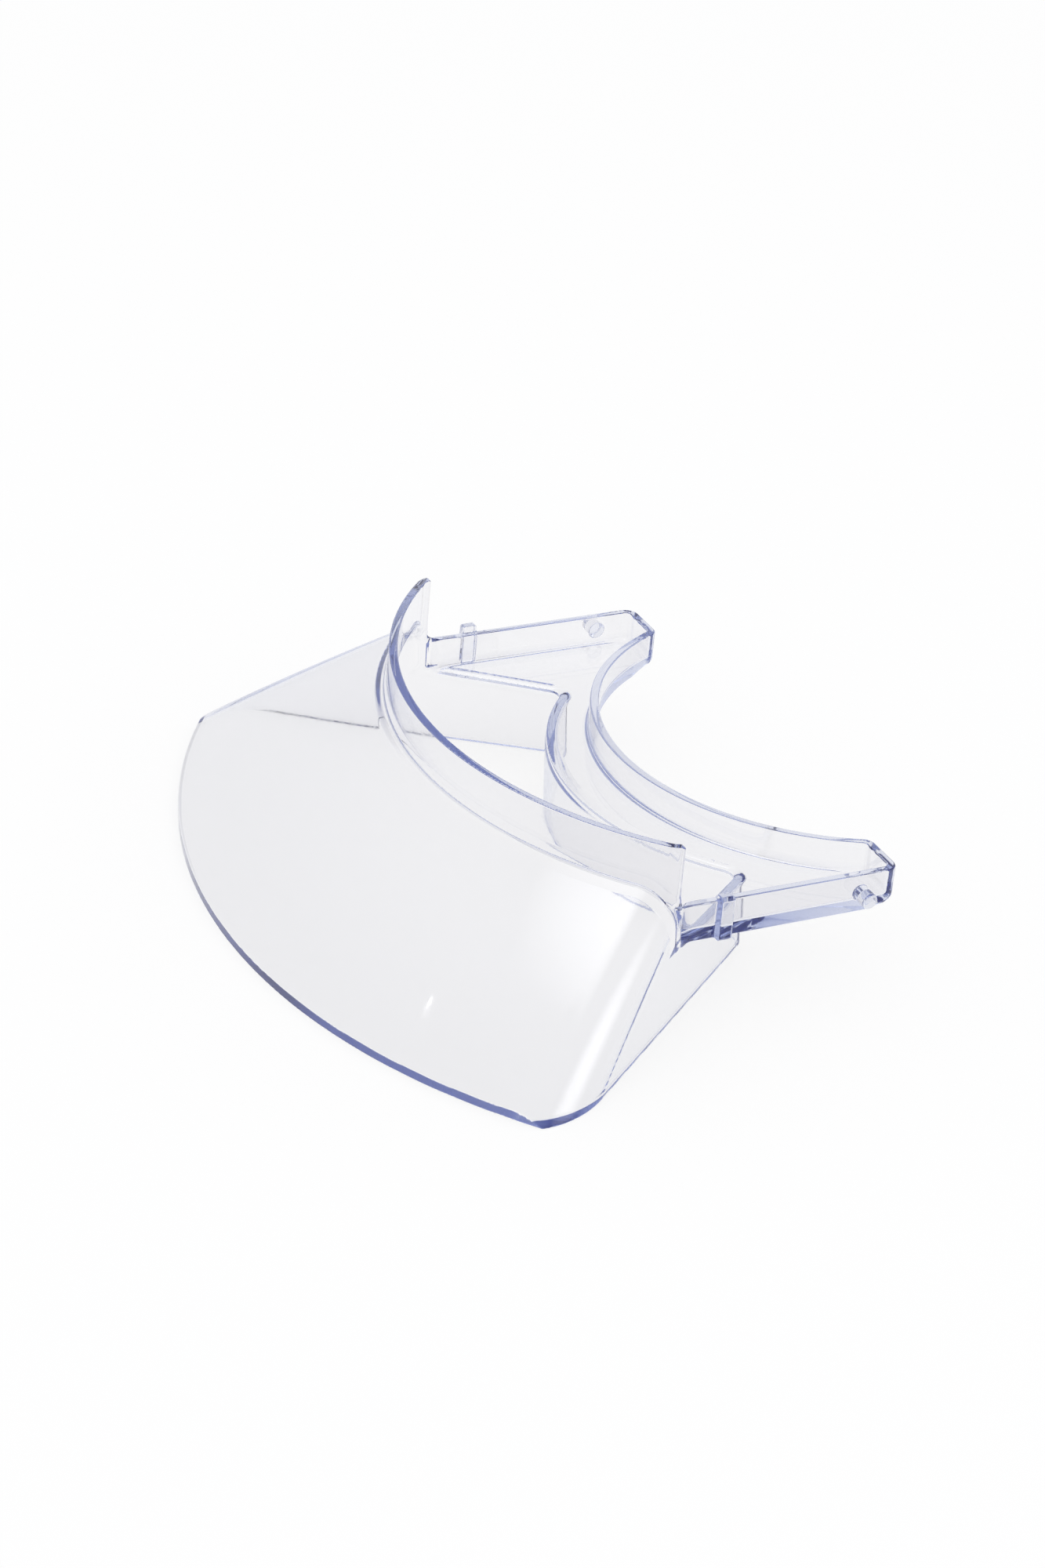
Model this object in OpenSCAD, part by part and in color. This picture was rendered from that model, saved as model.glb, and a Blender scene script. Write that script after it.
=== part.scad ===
// Pouring chute for the splash guard of a stand mixer bowl, one clear moulding.
// It stands on the mouth of its hopper, flange uppermost, as it is laid down on a worktop.
// Everything is drawn in the flange's own axes (x across, y towards the mixer head, z = 0 on
// top of the rails, y = 0 where the rails meet the arch wall) and then seated on the mouth.

/* [Wall] */
// Thickness of every moulded wall
wall_t = 2.8; // [2.2:0.1:3.4]

/* [Flange] */
// Width of the flange over the side rails
flange_w = 180; // [164:1:196]
// Length of the side rails, from the arch wall to the tips
flange_len = 75.9; // [68:0.1:84]
// Height of the rails above the deck
rail_h = 9.9; // [7:0.1:14]
// Width of each tip, from the rail's outer face to the cut-out
tip_w = 18.4; // [15:0.1:23]
// Depth of the cut-out that clears the mixer head, from the tips' ends
cutout_depth = 48.3; // [40:0.1:52]
// Radius on the outer corner of each tip
tip_corner_r = 4.5; // [3.6:0.1:8]
// Radius where a tip turns into the cut-out
lip_corner_r = 3.8; // [3.5:0.1:6]

/* [Hinge pins and snap ribs] */
// Diameter of the hinge pins
pin_d = 5.2; // [4:0.1:6.4]
// Length that a pin stands out of its rail
pin_len = 6.4; // [4:0.1:9]
// Bevel on the free end of a pin
pin_bevel = 0.6; // [0.2:0.1:1.2]
// Distance of the pins' axis from the tips
pin_from_tip = 13.4; // [9:0.1:20]
// Depth of the pins' axis below the rail tops
pin_drop = 6; // [4:0.1:7]
// Width of a snap rib along the rail
rib_w = 4.5; // [3:0.1:8]
// Distance that a snap rib stands out of its rail
rib_out = 3; // [1.5:0.1:4.5]
// Distance of a snap rib's middle from the arch wall
rib_y = 15.5; // [8:0.5:24]
// Height of a snap rib's head above the rail
rib_rise = 2.2; // [0.5:0.1:3]

/* [Arch wall] */
// Bow of the arch wall, from its ends to its foremost point
arch_bow = 43; // [38:0.1:52]
// Distance in front of the arch wall's ends at which its curve would meet the sides
arch_side = 2.9; // [1:0.1:6]
// Radius that turns the arch wall into line with the rails at its ends
arch_corner_r = 7; // [4:0.1:10]
// Height of the arch wall above the rails
arch_rise = 21.5; // [14:0.5:34]
// How far the hopper and the arch stand out past each rail
arch_proud = 1.6; // [0.5:0.1:2.2]

/* [Hopper] */
// Height above the rails at which the chute panel leaves the arch wall
root_rise = 8; // [4:0.5:12]
// Outer radius of the hopper's front rim, in plan
rim_r = 207; // [170:1:260]
// Distance from the arch line to the foremost point of the rim
rim_reach = 105.3; // [90:0.1:125]
// Height of the panel's top edge above the mouth, at the rim
rim_rise = 3.3; // [2.6:0.1:3.4]
// Angle at which each cheek flares out from the straight line ahead
cheek_flare = 37.5; // [30:0.1:42]
// Lean of the cheeks and the throat wall, which open the hopper towards its mouth
wall_lean = 3; // [0.5:0.1:5]
// Radius of the shoulder between panel and cheek, at the arch wall
shoulder_r_root = 12; // [8:0.5:15]
// Radius of the shoulder between panel and cheek, at the rim
shoulder_r_rim = 18.6; // [12:0.1:22]
// Depth of the hopper's mouth below the rails, at the arch line
mouth_depth = 36.6; // [30:0.1:46]
// Tilt of the mouth against the flange
mouth_tilt = 2.95; // [0.5:0.05:5]

/* [Throat] */
// Distance from the arch line to the throat's rear corners, level with the rail tops
throat_len = 37.5; // [30:0.5:44]
// Bow of the wall behind the throat, forward of its corners
throat_bow = 27.9; // [22:0.1:32]

/* [Hidden] */
$fn = 160;

clear_blue = [0.86, 0.89, 0.97, 0.55];
edge_blue = [0.55, 0.62, 0.85, 0.75];
far = 400;                                   // longer than the part in any direction
past = 1;                                    // how far a cutter runs past the face it cuts
bite = 0.01;                                 // how far a rounding crosses the edge that it runs into

// Radius of an arc that spans half a chord each way and bows by a given depth
function bowed_r(half_chord, bow) = (half_chord * half_chord + bow * bow) / (2 * bow);

// Flange
flange_half = flange_w / 2;
deck_z = -rail_h - wall_t;                   // underside of the deck
cutout_x = flange_half - tip_w;              // where the cut-out meets the tips' line
cutout_r = bowed_r(cutout_x, cutout_depth);
cutout_cy = flange_len + cutout_r - cutout_depth;
lip_corner_x = sqrt(pow(cutout_r + lip_corner_r - bite, 2)
                    - pow(cutout_cy - flange_len + lip_corner_r, 2));
lip_end_x = lip_corner_x * cutout_r / (cutout_r + lip_corner_r) - wall_t / 4;   // short of the rounding
rib_slope = rib_out / 3;

// Arch and hopper in plan
hopper_half = flange_half + arch_proud;      // half width where y = 0
arch_r = bowed_r(hopper_half, arch_bow - arch_side);
arch_cy = arch_r - arch_bow;
arch_corner_x = hopper_half - arch_corner_r;
arch_corner_cy = arch_cy - sqrt(pow(arch_r - arch_corner_r, 2) - pow(arch_corner_x, 2));
rim_cy = rim_r - rim_reach;
throat_r = bowed_r(hopper_half - throat_len * tan(cheek_flare), throat_bow);
throat_cy = throat_len + throat_r - throat_bow;

// Slope of the panel on the centre line, and its thickness measured upright
panel_run = rim_reach - arch_bow;
panel_fall = root_rise + mouth_depth + rim_reach * tan(mouth_tilt) - rim_rise;
panel_t = wall_t / cos(atan(panel_fall / panel_run));

// Facets of the chute, and the skirt below its shoulders that is cut back to the seam
panel_steps = 14;
shoulder_steps = 7;
panel_stations = 10;
skirt_h = 6;
root_overlap = 0.02;                         // how far the panel runs into the arch before it is cut

// Seam between shoulder and cheek: its height at the arch line and its fall towards the rim
seam_z = shoulder_foot_z(0) - wall_t / 2;
rim_corner_x = rim_r * sin(cheek_angle(1, 0));
rim_corner_y = rim_cy - rim_r * cos(cheek_angle(1, 0));
seam_fall = atan((shoulder_foot_z(0) - shoulder_foot_z(1))
                 / norm([rim_corner_x - hopper_half, rim_corner_y]));

// Seating of the part on its mouth, centred front to back
seat_y = (rim_reach / cos(mouth_tilt) + mouth_depth * sin(mouth_tilt)
          - flange_len * cos(mouth_tilt)) / 2;
seat_z = mouth_depth * cos(mouth_tilt);

module seat() {
    translate([0, seat_y, seat_z]) rotate([-mouth_tilt, 0, 0]) children();
}

// The right-hand piece as drawn, or its mirror image on the left
module on_side(side) {
    if (side > 0) children();
    else mirror([1, 0, 0]) children();
}

// ---- Flange ----

// What is cut away to round the corner where a tip turns into the cut-out
module lip_corner_waste(inset) {
    r = lip_corner_r - inset;
    cy = flange_len - lip_corner_r;
    cx = lip_corner_x;
    inner = [cx, cy] + (r + past) * [-cx, cutout_cy - cy] / (cutout_r + lip_corner_r);
    difference() {
        polygon([[cx, cy], [cx, flange_len], [cutout_x - wall_t, flange_len], inner]);
        translate([cx, cy]) circle(r);
    }
}

// Plan of the flange, drawn in by inset from its outer edge and open at the arch wall
module flange_plan(inset) {
    r = tip_corner_r - inset;
    w = flange_half - inset;
    l = flange_len - inset;
    difference() {
        union() {
            translate([-w, -inset]) square([2 * w, l - r + inset]);
            translate([-w + r, -inset]) square([2 * (w - r), l + inset]);
            for (side = [-1, 1]) translate([side * (w - r), l - r]) circle(r);
        }
        translate([0, cutout_cy]) circle(cutout_r + inset);
        lip_corner_waste(inset);
        mirror([1, 0]) lip_corner_waste(inset);
    }
}

// Upright wall along the rails, round the tips and along the cut-out
module flange_wall() {
    translate([0, 0, deck_z]) linear_extrude(-deck_z) difference() {
        flange_plan(0);
        flange_plan(wall_t);
    }
}

// Space that holds the right-hand rail alone
module rail_space() {
    translate([flange_half - wall_t, 0, deck_z - past])
        cube([wall_t + past, flange_len - tip_corner_r, 2 * past - deck_z]);
}

module rail(side) {
    color(clear_blue) seat() on_side(side) intersection() {
        flange_wall();
        rail_space();
    }
}

module tip(side) {
    color(edge_blue) seat() on_side(side) difference() {
        intersection() {
            flange_wall();
            translate([lip_end_x, 0, deck_z - past]) cube([far, far, 2 * past - deck_z]);
        }
        rail_space();
    }
}

module collar_lip() {
    color(edge_blue) seat() intersection() {
        flange_wall();
        translate([-lip_end_x, 0, deck_z - past])
            cube([2 * lip_end_x, far, 2 * past - deck_z]);
    }
}

module deck_plate() {
    color(clear_blue) seat() difference() {
        translate([0, 0, deck_z]) linear_extrude(wall_t) intersection() {
            flange_plan(wall_t);
            translate([-far, 0]) square([2 * far, far]);
        }
        difference() {
            between_cheeks(wall_t);
            behind_throat(0);
        }
    }
}

// ---- Hinge pins and snap ribs ----

module hinge_pin(side) {
    color(clear_blue) seat() on_side(side)
        translate([flange_half, flange_len - pin_from_tip, -pin_drop]) rotate([0, 90, 0])
        rotate_extrude() polygon([
            [0, 0], [pin_d / 2, 0], [pin_d / 2, pin_len - pin_bevel],
            [pin_d / 2 - pin_bevel, pin_len], [0, pin_len]
        ]);
}

// A rib has sloped ends, so that the guard's catch can ride over it
module snap_rib(side) {
    color(edge_blue) seat() on_side(side)
        translate([flange_half, rib_y + rib_w / 2, 0]) rotate([90, 0, 0]) linear_extrude(rib_w)
        polygon([
            [0, deck_z], [rib_out - rib_slope, deck_z], [rib_out, deck_z + rib_slope],
            [rib_out, rib_rise - rib_slope], [rib_out - rib_slope, rib_rise], [0, rib_rise]
        ]);
}

// ---- Room inside the hopper ----

// Everything on the inner side of the right-hand cheek's outer face, drawn in by inset
module inside_cheek(inset) {
    translate([hopper_half, 0, 0]) rotate([0, 0, cheek_flare]) rotate([0, -wall_lean, 0])
        translate([-far - inset, -far, -far]) cube([far, 2 * far, 2 * far]);
}

// Room between the two cheeks, drawn in by inset from their outer faces
module between_cheeks(inset) {
    intersection() {
        inside_cheek(inset);
        mirror([1, 0, 0]) inside_cheek(inset);
    }
}

// Everything behind the throat wall's inner face, moved back by inset
module behind_throat(inset) {
    spread = far / 4 * tan(wall_lean);
    r = throat_r - inset / cos(wall_lean);
    translate([0, throat_cy, -far / 4]) cylinder(h = far / 2, r1 = r - spread, r2 = r + spread);
}

// ---- Cutters shared by the hopper's walls ----

// Everything below the plane of the mouth
module below_mouth() {
    translate([0, 0, -mouth_depth]) rotate([mouth_tilt, 0, 0])
        translate([-far, -far, -far]) cube([2 * far, 2 * far, far]);
}

// Everything below (-1) or above (+1) the right-hand seam between shoulder and cheek
module past_seam(way) {
    reach = wall_t + past + lean_out(1);
    translate([hopper_half, 0, seam_z]) rotate([0, 0, cheek_flare - 90]) rotate([0, seam_fall, 0])
        translate([-far / 2, -reach, way < 0 ? -far / 2 : 0]) cube([far, 2 * reach, far / 2]);
}

// Plan of the arch, drawn in by inset from its outer edge and open behind. Round the arch's
// centre a wedge holds the long curve, as far as the middles of its two corners.
module arch_plan(inset) {
    wedge = far / arch_cy * [arch_corner_x, arch_corner_cy - arch_cy];
    intersection() {
        translate([0, arch_cy]) circle(arch_r - inset);
        translate([0, arch_cy]) polygon([[0, 0], [-wedge[0], wedge[1]], wedge]);
    }
    for (side = [-1, 1]) translate([side * arch_corner_x, arch_corner_cy])
        circle(arch_corner_r - inset + bite);
    translate([inset - hopper_half, arch_corner_cy]) square([2 * (hopper_half - inset), far]);
}

// Inside of the arch wall's outer face, from a height upward
module inside_arch(z) {
    translate([0, 0, z]) linear_extrude(far) arch_plan(0);
}

// ---- Skin of the chute ----

function mix(a, b, u) = a + (b - a) * u;

// Plan arc at a station: u = 0 at the arch wall, u = 1 at the rim
function arc_r(u) = mix(arch_r, rim_r, u);
function arc_cy(u) = mix(arch_cy, rim_cy, u);
function shoulder_r(u) = mix(shoulder_r_root, shoulder_r_rim, u);

// Height at which the shoulder ends in the cheek, and how far the cheek has leaned out there
function shoulder_foot_z(u) = mix(root_rise - shoulder_r_root,
                                  mouth_z(-rim_reach / 2) + rim_rise - shoulder_r_rim, u);
function lean_out(u) = -shoulder_foot_z(u) * tan(wall_lean);

// Angle along that arc at which it meets the cheek's face, inset by a wall or by nothing
function cheek_angle(u, inset) = 90 + cheek_flare
    - acos((hopper_half * cos(cheek_flare) + lean_out(u) - inset - arc_cy(u) * sin(cheek_flare))
           / arc_r(u));

function skin_point(u, angle, drop) =
    let (y = arc_cy(u) - arc_r(u) * cos(angle))
    [arc_r(u) * sin(angle), y, mix(root_rise, mouth_z(y) + rim_rise, u) - drop];
function mouth_z(y) = y * tan(mouth_tilt) - mouth_depth;

// Right half of one section, from beside the centre line to the bottom of the skirt
function half_section(u, inset) =
    let (r = shoulder_r(u) - inset, drop = panel_t * inset / wall_t,
         end = cheek_angle(u, inset), start = end - r / arc_r(u) * 180 / PI,
         foot = end + skirt_h * tan(wall_lean) / arc_r(u) * 180 / PI)
    concat(
        [for (i = [1 : panel_steps]) skin_point(u, start * i / panel_steps, drop)],
        [for (j = [1 : shoulder_steps]) let (a = 90 * j / shoulder_steps)
            skin_point(u, start + (end - start) * sin(a), drop + r * (1 - cos(a)))],
        [skin_point(u, foot, shoulder_r(u) + skirt_h)]);

function section(u, inset) =
    let (right = half_section(u, inset), n = len(right))
    concat([for (i = [n - 1 : -1 : 0]) [-right[i][0], right[i][1], right[i][2]]],
           [skin_point(u, 0, panel_t * inset / wall_t)], right);

// Closed shell between two skins that are given as rows of points
module loft_shell(outer, inner) {
    rows = len(outer);
    cols = len(outer[0]);
    points = [for (skin = [outer, inner]) for (row = skin) for (p = row) p];
    function at(skin, i, j) = (skin * rows + i) * cols + j;
    function quad(a, b, c, d) = [[a, b, c], [a, c, d]];
    faces = [
        for (i = [0 : rows - 2], j = [0 : cols - 2]) each concat(
            quad(at(0, i, j), at(0, i, j + 1), at(0, i + 1, j + 1), at(0, i + 1, j)),
            quad(at(1, i, j), at(1, i + 1, j), at(1, i + 1, j + 1), at(1, i, j + 1))),
        for (i = [0 : rows - 2]) each concat(
            quad(at(0, i, 0), at(0, i + 1, 0), at(1, i + 1, 0), at(1, i, 0)),
            quad(at(0, i, cols - 1), at(1, i, cols - 1),
                 at(1, i + 1, cols - 1), at(0, i + 1, cols - 1))),
        for (j = [0 : cols - 2]) each concat(
            quad(at(0, 0, j), at(1, 0, j), at(1, 0, j + 1), at(0, 0, j + 1)),
            quad(at(0, rows - 1, j), at(0, rows - 1, j + 1),
                 at(1, rows - 1, j + 1), at(1, rows - 1, j)))
    ];
    polyhedron(points, faces, convexity = 6);
}

// Sloping floor of the chute with its rounded shoulders, from the arch wall out to the rim
module chute_panel() {
    stations = concat([-root_overlap], [for (i = [1 : panel_stations]) i / panel_stations]);
    color(clear_blue) seat() difference() {
        loft_shell([for (u = stations) section(u, 0)], [for (u = stations) section(u, wall_t)]);
        inside_arch(-far / 2);
        below_mouth();
        for (side = [-1, 1]) on_side(side) past_seam(-1);
    }
}

// ---- Upright walls of the hopper ----

// Room below the chute's inner skin on the inner side of the right-hand cheek
module below_shoulder() {
    r = shoulder_r_root - wall_t;
    top = root_rise - panel_t;
    side = wall_t + deck_z / 2 * tan(wall_lean);
    translate([hopper_half, 0, 0]) rotate([0, 0, cheek_flare]) rotate([90, 0, 0])
        linear_extrude(2 * far, center = true) {
            translate([-far - side, deck_z - past]) square([far, top - r - deck_z + past]);
            translate([-far - side - r, deck_z - past]) square([far, top - deck_z + past]);
            translate([-side - r + bite, top - r + bite]) circle(r);
        }
}

// Room inside the hopper where the chute runs through the arch wall
module chute_passage() {
    intersection() {
        below_shoulder();
        mirror([1, 0, 0]) below_shoulder();
    }
}

module arch_wall() {
    color(edge_blue) seat() difference() {
        translate([0, 0, deck_z]) linear_extrude(arch_rise - deck_z) difference() {
            arch_plan(0);
            arch_plan(wall_t);
        }
        translate([-far, 0, -far]) cube(2 * far);
        chute_passage();
    }
}

module cheek(side) {
    color(clear_blue) seat() on_side(side) difference() {
        intersection() {
            inside_cheek(0);
            translate([0, -1.2 * rim_reach, root_rise - far / 4])
                cube([far, 1.2 * rim_reach + throat_cy, far / 4]);
        }
        inside_cheek(wall_t);
        behind_throat(0);
        inside_arch(deck_z);
        below_mouth();
        difference() {
            past_seam(1);
            inside_arch(-far / 2);
        }
    }
}

module throat_wall() {
    color(edge_blue) seat() difference() {
        intersection() {
            between_cheeks(0);
            behind_throat(0);
            translate([-far, -far, deck_z - far]) cube([2 * far, far + throat_cy, far]);
        }
        behind_throat(wall_t);
        below_mouth();
    }
}

module left_rail() { rail(-1); }
module right_rail() { rail(1); }
module left_tip() { tip(-1); }
module right_tip() { tip(1); }
module left_hinge_pin() { hinge_pin(-1); }
module right_hinge_pin() { hinge_pin(1); }
module left_snap_rib() { snap_rib(-1); }
module right_snap_rib() { snap_rib(1); }
module left_cheek() { cheek(-1); }
module right_cheek() { cheek(1); }

deck_plate();
left_rail();
right_rail();
left_tip();
right_tip();
collar_lip();
left_hinge_pin();
right_hinge_pin();
left_snap_rib();
right_snap_rib();
arch_wall();
chute_panel();
left_cheek();
right_cheek();
throat_wall();
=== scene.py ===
# Pouring chute for the splash guard of a stand mixer bowl: one clear injection moulding, laid
# down on the mouth of its hopper with the flange uppermost.
import math

import bpy
import numpy as np
from mathutils import Matrix, Vector


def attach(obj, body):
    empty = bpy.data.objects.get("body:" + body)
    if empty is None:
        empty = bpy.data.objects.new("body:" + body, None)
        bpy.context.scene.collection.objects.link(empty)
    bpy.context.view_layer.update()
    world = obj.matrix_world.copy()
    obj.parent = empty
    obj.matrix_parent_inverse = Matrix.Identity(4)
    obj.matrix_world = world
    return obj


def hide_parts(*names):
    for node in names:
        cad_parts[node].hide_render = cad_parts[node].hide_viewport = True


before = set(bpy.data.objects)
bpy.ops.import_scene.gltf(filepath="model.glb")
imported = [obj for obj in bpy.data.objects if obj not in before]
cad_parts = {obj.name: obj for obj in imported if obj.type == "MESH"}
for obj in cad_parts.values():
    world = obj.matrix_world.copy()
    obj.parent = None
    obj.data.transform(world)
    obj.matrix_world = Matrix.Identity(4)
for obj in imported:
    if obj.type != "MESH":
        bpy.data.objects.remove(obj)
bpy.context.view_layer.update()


# ---- Camera ----
# A long lens from the front right, 30 degrees above the table, held a little off level. Light
# runs far along inside a clear wall before it leaves, so rays may bounce many times.

lens_mm, film_mm = 93.13, 36
nearest, farthest = 0.01, 50
aim = Vector((-0.00968, 0.01293, 0.02529))
distance = 1.27097
azimuth, elevation, roll = (math.radians(a) for a in (63.547, 30.343, -2.135))
bounces_inside = 200

forward = Vector((-math.cos(elevation) * math.sin(azimuth),
                  math.cos(elevation) * math.cos(azimuth), -math.sin(elevation)))
level = forward.cross(Vector((0, 0, 1))).normalized()
right = Matrix.Rotation(roll, 3, forward) @ level
up = right.cross(forward)
camera_data = bpy.data.cameras.new("camera")
camera_data.lens = lens_mm
camera_data.sensor_width = film_mm
camera_data.sensor_fit = "AUTO"
camera_data.clip_start, camera_data.clip_end = nearest, farthest
camera = bpy.data.objects.new("camera", camera_data)
camera.matrix_world = (Matrix.Translation(aim - distance * forward)
                       @ Matrix((right, up, -forward)).transposed().to_4x4())
bpy.context.scene.collection.objects.link(camera)
bpy.context.scene.camera = camera
bpy.context.scene.view_settings.view_transform = "Standard"
cycles = bpy.context.scene.cycles
cycles.max_bounces = cycles.transmission_bounces = cycles.glossy_bounces = bounces_inside


# ---- Table, room and lamps ----
# A pale table that runs out to a white room, lit by large soft lamps. What is seen past the
# object is plain white, while the table keeps the object's shadow.

def linear(colour):
    """An sRGB hex colour as linear red, green, blue and 1, by the sRGB curve: a straight foot,
    then a power of 2.4."""
    parts = [int(colour[i:i + 2], 16) / 255 for i in (1, 3, 5)]
    return tuple(p / 12.92 if p <= 0.04045 else ((p + 0.055) / 1.055) ** 2.4
                 for p in parts) + (1.0,)


def add_node(tree, kind, settings=(), links=()):
    """Adds a node. A setting's key is a property's name, or an input's name or number."""
    node = tree.nodes.new(kind)
    for key, value in dict(settings).items():
        if isinstance(key, str) and hasattr(node, key):
            setattr(node, key, value)
        else:
            node.inputs[key].default_value = value
    for key, source in dict(links).items():
        tree.links.new(source, node.inputs[key])
    return node


def seen_white(tree):
    """1 where the eye, a reflection or a view through clear plastic meets the surface."""
    rays = add_node(tree, "ShaderNodeLightPath")
    mirrored = add_node(tree, "ShaderNodeMath", {"operation": "MAXIMUM"},
                        {0: rays.outputs["Is Camera Ray"], 1: rays.outputs["Is Glossy Ray"]})
    return add_node(tree, "ShaderNodeMath", {"operation": "MAXIMUM"},
                    {0: mirrored.outputs[0], 1: rays.outputs["Is Transmission Ray"]}).outputs[0]


table_half, table_drop = 3.0, 0.00015               # half its width, and the gap under the foot
table_white, table_glow, room_light = "#FAFAFB", 0.8, 0.95

table_corners = np.array([(-1, -1, 0), (1, -1, 0), (1, 1, 0), (-1, 1, 0)], float) * table_half
table_corners[:, 2] = -table_drop
table_mesh = bpy.data.meshes.new("table")
table_mesh.from_pydata(table_corners.tolist(), [], [(0, 1, 2, 3)])
table = bpy.data.objects.new("table", table_mesh)
bpy.context.scene.collection.objects.link(table)

paint = bpy.data.materials.new("matt_white_table")
paint.use_nodes = True
tree = paint.node_tree
tree.nodes.clear()
matt = add_node(tree, "ShaderNodeBsdfDiffuse", {"Color": linear(table_white)})
glow = add_node(tree, "ShaderNodeEmission", {"Color": (1, 1, 1, 1), "Strength": 1.0})
share = add_node(tree, "ShaderNodeMath", {"operation": "MULTIPLY", 1: table_glow},
                 {0: seen_white(tree)})
mixed = add_node(tree, "ShaderNodeMixShader", {},
                 {0: share.outputs[0], 1: matt.outputs[0], 2: glow.outputs[0]})
add_node(tree, "ShaderNodeOutputMaterial", {}, {"Surface": mixed.outputs[0]})
table_mesh.materials.append(paint)

room = bpy.data.worlds.new("white_room")
bpy.context.scene.world = room
room.use_nodes = True
tree = room.node_tree
tree.nodes.clear()
lit = add_node(tree, "ShaderNodeBackground", {"Color": (1, 1, 1, 1), "Strength": room_light})
plain = add_node(tree, "ShaderNodeBackground", {"Color": (1, 1, 1, 1), "Strength": 1.0})
rays = add_node(tree, "ShaderNodeLightPath")
mixed = add_node(tree, "ShaderNodeMixShader", {},
                 {0: rays.outputs["Is Camera Ray"], 1: lit.outputs[0], 2: plain.outputs[0]})
add_node(tree, "ShaderNodeOutputWorld", {}, {"Surface": mixed.outputs[0]})


def soft_lamp(name, place, size, strength, target=None, turn=0.0):
    """A lamp, width by length, that hangs level or faces a target, turned in its own plane. With
    u and v across it from 0 to 1, its light is 16 u (1 - u) v (1 - v): 1 in the middle and 0 at
    the edges. Its energy is strength times pi times its area, so strength 1 is plain white."""
    data = bpy.data.lights.new(name, "AREA")
    data.shape = "RECTANGLE"
    data.size, data.size_y = size
    data.energy = strength * math.pi * size[0] * size[1]
    data.use_nodes = True
    tree = data.node_tree
    tree.nodes.clear()
    across = add_node(tree, "ShaderNodeSeparateXYZ", {}, {
        0: add_node(tree, "ShaderNodeNewGeometry").outputs["Parametric"]})
    fade = []
    for axis in "XY":
        rest = add_node(tree, "ShaderNodeMath", {"operation": "SUBTRACT", 0: 1.0},
                        {1: across.outputs[axis]})
        fade.append(add_node(tree, "ShaderNodeMath", {"operation": "MULTIPLY"},
                             {0: across.outputs[axis], 1: rest.outputs[0]}))
    both = add_node(tree, "ShaderNodeMath", {"operation": "MULTIPLY"},
                    {0: fade[0].outputs[0], 1: fade[1].outputs[0]})
    level = add_node(tree, "ShaderNodeMath", {"operation": "MULTIPLY", 1: 16.0},
                     {0: both.outputs[0]})
    light = add_node(tree, "ShaderNodeEmission", {"Color": (1, 1, 1, 1)},
                     {"Strength": level.outputs[0]})
    add_node(tree, "ShaderNodeOutputLight", {}, {"Surface": light.outputs[0]})
    lamp = bpy.data.objects.new(name, data)
    lamp.location = place
    facing = Matrix.Identity(3)
    if target is not None:
        facing = (Vector(target) - Vector(place)).to_track_quat("-Z", "Y").to_matrix()
    lamp.rotation_euler = (facing @ Matrix.Rotation(turn, 3, "Z")).to_euler()
    bpy.context.scene.collection.objects.link(lamp)


soft_lamp("lamp_above", (0.037, -0.181, 1.2), (1.0, 0.32), 1.8, turn=math.radians(32.3))
soft_lamp("lamp_behind", (1.158, 0.83, 0.87), (0.36, 1.1), 1.9, target=(0.11, -0.02, 0.02),
          turn=math.radians(34.5))
soft_lamp("small_lamp", (-0.475, -0.745, 1.2), (0.012, 0.017), 14.0)


# ---- The moulding ----
# Flange, arch, hopper, pins and ribs are one clear polycarbonate moulding with no seams inside,
# so it is one surface: each wall is a distance, negative inside, and the surface is where the
# joined distance is zero. Millimetres; x across, y to the mixer head, z up from the rail tops.

wall = 2.8
flange_half, flange_len, rail_h = 90.0, 75.9, 9.9
tip_w, cutout_depth, tip_corner, lip_corner = 18.4, 48.3, 4.5, 2.3
pin_r, pin_len, pin_bevel, pin_from_tip, pin_drop = 2.6, 6.4, 0.6, 13.4, 6.0
rib_w, rib_out, rib_y, rib_rise = 4.5, 3.0, 15.5, 2.2
arch_bow, arch_side, arch_corner, arch_rise, arch_proud = 43.0, 2.9, 7.0, 21.5, 1.6
root_rise, rim_r, rim_reach, rim_rise = 8.0, 207.0, 105.3, 3.3
flare, lean, tilt = (math.radians(a) for a in (37.5, 3.0, 2.95))
shoulder_root, shoulder_rim, shoulder_fill, mouth_depth = 12.0, 18.6, 0.9, 36.6
throat_len, throat_bow, throat_corner = 37.5, 27.9, 7.0
edge_r, foot_r, fold_r, root_r = 0.5, 1.6, 3.0, 2.2      # radii of edges, feet, deck fold and root
arch_end_r, rim_edge_r, pin_edge_r, pocket_r, lap_r = 1.2, 0.3, 0.2, 1.0, 1.0
tip_round, tip_round_y, tip_round_run = 3.0, 11.0, 8.0   # extra radius under the tips, and where
arch_lap, pin_lap, rib_lap = 1.5, 1.2, 0.6               # where flange, pins and ribs sink in
front_lap, rear_lap, under_lap = 0.2, 6.0, 2.5           # where front and rear meet at the arch


def bowed(half_chord, bow):
    """Radius of an arc that bows by a given depth over its chord: half the chord squared plus
    the bow squared, over twice the bow."""
    return (half_chord ** 2 + bow ** 2) / (2 * bow)


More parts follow.
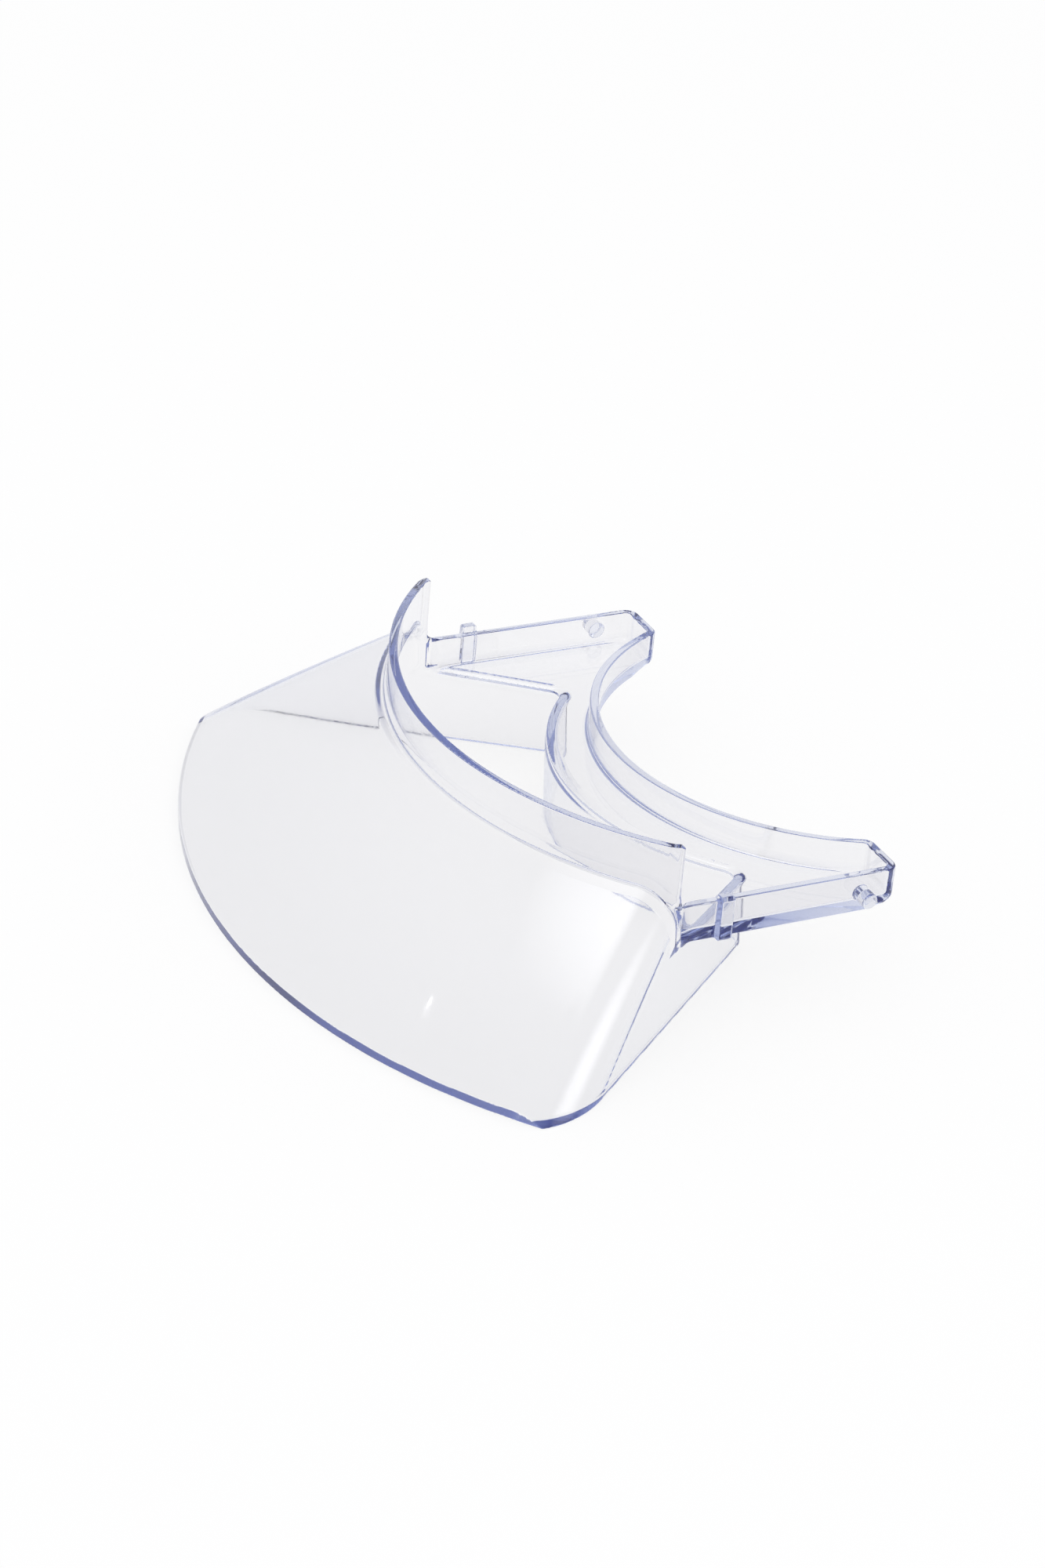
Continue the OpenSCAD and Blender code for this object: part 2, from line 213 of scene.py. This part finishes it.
deck_z = -rail_h - wall
cutout_x = flange_half - tip_w
cutout_r = bowed(cutout_x, cutout_depth)
cutout_y = flange_len + cutout_r - cutout_depth
hopper_half = flange_half + arch_proud
arch_r = bowed(hopper_half, arch_bow - arch_side)
arch_y = arch_r - arch_bow
corner_x = hopper_half - arch_corner
corner_y = arch_y - math.sqrt((arch_r - arch_corner) ** 2 - corner_x ** 2)
rim_y = rim_r - rim_reach
throat_r = bowed(hopper_half - throat_len * math.tan(flare), throat_bow)
throat_y = throat_len + throat_r - throat_bow
panel_fall = root_rise + mouth_depth + rim_reach * math.tan(tilt) - rim_rise
panel_t = wall / math.cos(math.atan(panel_fall / (rim_reach - arch_bow)))


def common(a, b, r):
    """What two shapes share: the larger distance, and within r of both faces the distance from
    a circle of radius r, which rounds the edge between them."""
    return np.minimum(np.maximum(a, b), -r) + np.hypot(np.maximum(a + r, 0), np.maximum(b + r, 0))


def joined(a, b, r):
    """Two shapes together, with a fillet of radius r where their faces meet: what is outside
    both is what their outsides share."""
    return -common(-a, -b, r)


def along_chute(x, y):
    """How far down the chute a point of the plan is: 0 at the arch, 1 at the rim. The arcs
    across the chute have centres and radii that change evenly, so this solves a quadratic."""
    c, r = rim_y - arch_y, rim_r - arch_r
    half = c * (y - arch_y) + arch_r * r
    rest = x * x + (y - arch_y) ** 2 - arch_r ** 2
    return rest / (half + np.sqrt(np.maximum(half * half + (r * r - c * c) * rest, 1.0)))


def panel_height(x, y):
    """Height of the panel's top: each arc is level across, and falls evenly to the rim."""
    u = along_chute(x, y)
    return root_rise + (y * math.tan(tilt) - mouth_depth + rim_rise - root_rise) * u


def flange(ax, y, z):
    """Deck with rails, tips and collar lip: a plan shape with a pocket sunk in from above. The
    lower edge grows rounder towards the tips."""
    side, end = ax - flange_half, y - flange_len
    cut = cutout_r - np.hypot(ax, y - cutout_y)
    plan = common(common(side, end, tip_corner), cut, lip_corner)
    pocket = common(common(side + wall, end + wall, tip_corner - wall), cut + wall, pocket_r)
    low_r = edge_r + tip_round * np.clip((end + tip_round_y) / tip_round_run, 0, 1)
    block = common(common(plan, z + 0 * plan, edge_r), deck_z - z, low_r)
    block = common(block, -arch_lap - y, lap_r)
    return common(block, -common(pocket, -rail_h - z, foot_r), edge_r)


def arch_plan(ax, y):
    """Distance outside the arch's outer edge in plan: from the long curve as far as the rays
    from its centre through the corners' centres, then from the corner, then from the side."""
    curve = np.hypot(ax, y - arch_y) - arch_r
    corner = np.hypot(ax - corner_x, y - corner_y) - arch_corner
    turned = ax * (arch_y - corner_y) > (arch_y - y) * corner_x
    return np.where(y > corner_y, ax - hopper_half, np.where(turned, corner, curve))


def arch(ax, y, z):
    """Upright wall along the arch's plan, from the deck's underside to the arch's rim."""
    ring = np.abs(arch_plan(ax, y) + wall / 2) - wall / 2
    height = np.abs(z - (arch_rise + deck_z) / 2) - (arch_rise - deck_z) / 2
    return common(common(ring, height, edge_r), y, arch_end_r)


def hopper(ax, y, z):
    """Outside and inside of the hopper. The cheeks lean out, the shoulders round from panel to
    cheek with a radius that grows down the chute, with a slightly thicker wall in the bend,
    and a bowed wall closes the throat."""
    from_arch = arch_plan(ax, y)
    above = z - panel_height(ax, y)
    shoulder = shoulder_root + (shoulder_rim - shoulder_root) * np.clip(along_chute(ax, y), 0, 1)
    cheek = ((ax - hopper_half) * math.cos(flare) + y * math.sin(flare)
             + z * math.tan(lean)) * math.cos(lean)
    throat = (throat_r + z * math.tan(lean)) - np.hypot(ax, y - throat_y)
    front = common(common(cheek, above, shoulder), np.hypot(ax, y - rim_y) - rim_r, rim_edge_r)
    rear = np.maximum(common(cheek, throat - wall, throat_corner), z - deck_z - wall + foot_r)
    outside = np.minimum(np.maximum(front, -front_lap - from_arch),
                         np.maximum(rear, from_arch - rear_lap))
    under = np.minimum(common(cheek + wall, above + panel_t, shoulder - wall + shoulder_fill),
                       from_arch + wall + under_lap)
    inside = np.maximum(common(cheek + wall, throat, throat_corner - wall), under)
    return outside, inside


def pin(ax, y, z):
    """Round stub on each rail, bevelled at its free end."""
    out = np.hypot(y - flange_len + pin_from_tip, z + pin_drop) - pin_r
    tip = ax - flange_half - pin_len
    bevel = (out + tip + pin_bevel) * math.sqrt(0.5)
    return np.maximum(common(np.maximum(out, bevel), tip, pin_edge_r),
                      flange_half - pin_lap - ax)


def rib(ax, y, z):
    """Snap rib on each rail, with sloped ends and a head that stands above the rail."""
    out = ax - flange_half - rib_out
    tall = np.abs(z - (rib_rise + deck_z) / 2) - (rib_rise - deck_z) / 2
    slope = (out + tall + rib_out / 3) * math.sqrt(0.5)
    shape = common(np.maximum(np.maximum(out, tall), slope), np.abs(y - rib_y) - rib_w / 2, edge_r)
    return np.maximum(shape, flange_half - rib_lap - ax)


def moulding(x, y, z):
    """Field of the whole moulding, negative inside: flange, hopper and arch joined with
    fillets, the hopper's room cut out, pins and ribs added, and the mouth cut flat. The room's
    edge is a broad fold at the deck, and narrows to a plain edge by two walls below it."""
    ax = np.abs(x)
    outside, inside = hopper(ax, y, z)
    body = joined(flange(ax, y, z), outside, foot_r)
    body = joined(body, arch(ax, y, z), root_r)
    near_deck = np.clip((z - deck_z) / wall + 2, 0, 1)
    body = common(body, -inside, edge_r + (fold_r - edge_r) * near_deck)
    body = joined(body, pin(ax, y, z), edge_r)
    body = joined(body, rib(ax, y, z), edge_r)
    mouth = ((y * math.tan(tilt) - mouth_depth) - z) * math.cos(tilt)
    return common(body, mouth, edge_r)


def uphill(points, step=0.02):
    """Gradient of the field: the change between a step ahead and a step back along each axis,
    over both steps."""
    parts = []
    for axis in np.eye(3) * step:
        parts.append((moulding(*(points + axis).T) - moulding(*(points - axis).T)) / (2 * step))
    return np.stack(parts, 1)


def surface(cell, block=8, margin=1.5, rounds=3, least_slope=0.2):
    """Where the field is zero inside a box that holds the moulding, found in the small blocks of
    cells whose middles lie within one and a half blocks of it. Each cell that the surface
    crosses gets one vertex, at the mean of the crossings on its edges, and each crossed edge
    gets a face between its four cells. A vertex then moves by the field times its gradient over
    the gradient's square, three times, until it lies on the surface."""
    low, high = np.array((-131.0, -107.5, -44.0)), np.array((131.0, 78.5, 24.0))
    count = np.ceil((high - low) / (block * cell)).astype(int)
    low[0] = -count[0] * block * cell / 2
    home = np.stack(np.meshgrid(*map(np.arange, count), indexing="ij"), -1).reshape(-1, 3)
    middle = low + (home + 0.5) * block * cell
    home = home[np.abs(moulding(*middle.T)) < margin * block * cell] * block
    x, y, z = (low[k] + (home[:, k, None] + np.arange(block + 1)) * cell for k in range(3))
    field = moulding(x[:, :, None, None], y[:, None, :, None], z[:, None, None, :])
    size = count * block + 2
    stride = np.array((size[1] * size[2], size[2], 1))
    ids, places = [], []
    for axis in range(3):
        a, b = stride[(axis + 1) % 3], stride[(axis + 2) % 3]
        near = field[:, :-1, :-1, :-1]
        past = np.moveaxis(np.moveaxis(field, axis + 1, 1)[:, 1:], 1, axis + 1)
        past = past[:, :block, :block, :block]
        at = np.argwhere((near < 0) != (past < 0))
        f0, f1 = near[tuple(at.T)], past[tuple(at.T)]
        corner = home[at[:, 0]] + at[:, 1:]
        place = corner.astype(float)
        place[:, axis] += f0 / (f0 - f1)
        around = (corner @ stride)[:, None] - np.array((0, a, a + b, b))
        ids.append(np.where((f0 < 0)[:, None], around, around[:, ::-1]))
        places.append(place)
    number = np.unique(np.concatenate(ids), return_inverse=True)[1].reshape(-1)
    places = np.repeat(np.concatenate(places), 4, axis=0)
    total = np.stack([np.bincount(number, places[:, k]) for k in range(3)], 1)
    points = low + total / np.bincount(number)[:, None] * cell
    for _ in range(rounds):
        slope = uphill(points)
        square = np.maximum((slope ** 2).sum(1), least_slope)
        move = moulding(*points.T)[:, None] * slope / square[:, None]
        points -= np.clip(move, -cell / 2, cell / 2)
    return points, number.reshape(-1, 4)


def seated(points):
    """The moulding turned by the tilt of its mouth about the x axis, set down on its mouth with
    its box centred, in metres."""
    seat_y = (rim_reach / math.cos(tilt) + mouth_depth * math.sin(tilt)
              - flange_len * math.cos(tilt)) / 2
    c, s = math.cos(tilt), math.sin(tilt)
    turned = points @ np.array([(1, 0, 0), (0, c, -s), (0, s, c)])
    return (turned + (0, seat_y, mouth_depth * c)) / 1000


cell = 0.45                  # a cell's edge, in millimetres
most_triangles = 185_000
points, faces = surface(cell)
body_mesh = bpy.data.meshes.new("clear_moulding")
body_mesh.vertices.add(len(points))
body_mesh.vertices.foreach_set("co", points.ravel())
body_mesh.loops.add(faces.size)
body_mesh.loops.foreach_set("vertex_index", faces.ravel())
body_mesh.polygons.add(len(faces))
body_mesh.polygons.foreach_set("loop_start", np.arange(0, faces.size, 4))
body_mesh.polygons.foreach_set("loop_total", np.full(len(faces), 4))
body_mesh.update(calc_edges=True)
body_mesh.validate()
chute = bpy.data.objects.new("clear_moulding", body_mesh)
bpy.context.scene.collection.objects.link(chute)

# Flat walls need few faces, so the mesh is thinned to what its curves and radii need.
thin = chute.modifiers.new("thin", "DECIMATE")
thin.ratio = min(1.0, most_triangles / (2 * len(faces)))
worked_out = chute.evaluated_get(bpy.context.evaluated_depsgraph_get())
thinned = bpy.data.meshes.new_from_object(worked_out)
chute.modifiers.clear()
chute.data = thinned
thinned.name = "clear_moulding"
bpy.data.meshes.remove(body_mesh)
points = np.empty(len(thinned.vertices) * 3)
thinned.vertices.foreach_get("co", points)
points = points.reshape(-1, 3)
corner_of = np.empty(len(thinned.loops), int)
thinned.loops.foreach_get("vertex_index", corner_of)
middles, sides = np.empty(len(thinned.polygons) * 3), np.empty(len(thinned.polygons), int)
thinned.polygons.foreach_get("center", middles)
thinned.polygons.foreach_get("loop_total", sides)

# A face takes its shading from just inside each of its corners, so that a flat wall stays flat
# right up to the radius along its edge: a fifth of the way to the face's middle, and no more
# than 0.4 mm. The rim's face looks down by its draft, which grows with the square of x from the
# middle of the rim to its corners, and the arch's top slopes outwards, most in its middle.
inset_share, inset_most = 0.2, 0.4
near_face = 0.06                                    # what lies this close to a face is on it
upright_under, level_over = 0.2, 0.95               # how far up the faces' directions point
draft_middle, draft_corner, rim_half = math.radians(6.0), math.radians(16.0), 128
slope_middle, slope_end, arch_half = math.radians(27.0), math.radians(15.5), 88

inward = np.repeat(middles.reshape(-1, 3), sides, axis=0) - points[corner_of]
reach = np.linalg.norm(inward, axis=1)[:, None]
spots = points[corner_of] + inward * np.minimum(inset_share, inset_most / np.maximum(reach, 1e-6))
shade = uphill(spots)

on_rim = ((np.abs(np.hypot(spots[:, 0], spots[:, 1] - rim_y) - rim_r) < near_face)
          & (np.abs(shade[:, 2]) < upright_under))
draft = draft_middle + (draft_corner - draft_middle) * (spots[on_rim, 0] / rim_half) ** 2
shade[on_rim, 2] -= np.tan(draft)

on_top = (np.abs(spots[:, 2] - arch_rise) < near_face) & (shade[:, 2] > level_over)
outward = spots[on_top, :2] - (0, arch_y)
slope = slope_middle + (slope_end - slope_middle) * (outward[:, 0] / arch_half) ** 2
shade[on_top, :2] += (np.tan(slope) / np.linalg.norm(outward, axis=1))[:, None] * outward
shade /= np.maximum(np.linalg.norm(shade, axis=1), 1e-6)[:, None]

thinned.vertices.foreach_set("co", seated(points).ravel())
thinned.polygons.foreach_set("use_smooth", np.ones(len(thinned.polygons), bool))
thinned.update()
thinned.normals_split_custom_set((seated(shade) * 1000 - seated(np.zeros(3)) * 1000).tolist())

# Polycarbonate, injection moulded against polished steel: water clear through a thin wall. A
# little blue toner takes the yellow out, so light that runs along inside a wall comes out of
# its free edges deep blue. Handling scuffs are finer than a hair and are drawn coarse enough to
# show, as patches of softer gloss. The walls sink very slightly between their edges.
index, water_clear, its_shade = 1.585, "#FBFAF9", "#F6F6F8"
toner_take = (0.0170, 0.0145, 0.0060)               # red, green and blue lost in a millimetre
scuff_mm, scuff_gloss, scuff_dull = 20 / 7, 0.02, 0.09   # seven patches in 20 mm, roughnesses
sink_mm, sink_depth, sink_share = 250 / 7, 0.0006, 0.12  # seven waves in 250 mm

plastic = bpy.data.materials.new("moulded_polycarbonate")
plastic.use_nodes = True
tree = plastic.node_tree
tree.nodes.clear()
places = add_node(tree, "ShaderNodeTexCoord")
scuffs = add_node(tree, "ShaderNodeTexNoise",
                  {"Scale": 1000 / scuff_mm, "Detail": 4.0, "Roughness": 0.6, "Distortion": 1.5},
                  {"Vector": places.outputs["Object"]})
gloss = add_node(tree, "ShaderNodeMapRange",
                 {"From Min": 0.45, "From Max": 0.75, "To Min": scuff_gloss, "To Max": scuff_dull},
                 {"Value": scuffs.outputs["Fac"]})
waves = add_node(tree, "ShaderNodeTexNoise", {"Scale": 1000 / sink_mm, "Detail": 1.0},
                 {"Vector": places.outputs["Object"]})
sink = add_node(tree, "ShaderNodeBump", {"Strength": sink_share, "Distance": sink_depth},
                {"Height": waves.outputs["Fac"]})
clear = add_node(tree, "ShaderNodeBsdfPrincipled",
                 {"Base Color": linear(water_clear), "IOR": index, "Transmission Weight": 1.0},
                 {"Roughness": gloss.outputs["Result"], "Normal": sink.outputs["Normal"]})
passing = add_node(tree, "ShaderNodeBsdfTransparent", {"Color": linear(its_shade)})
rays = add_node(tree, "ShaderNodeLightPath")
skin = add_node(tree, "ShaderNodeMixShader", {},
                {0: rays.outputs["Is Shadow Ray"], 1: clear.outputs[0], 2: passing.outputs[0]})
strongest = max(toner_take)
toner = add_node(tree, "ShaderNodeVolumeAbsorption",
                 {"Color": tuple(1 - t / strongest for t in toner_take) + (1.0,),
                  "Density": strongest * 1000})
add_node(tree, "ShaderNodeOutputMaterial", {},
         {"Surface": skin.outputs[0], "Volume": toner.outputs[0]})
thinned.materials.clear()
thinned.materials.append(plastic)

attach(chute, "root")
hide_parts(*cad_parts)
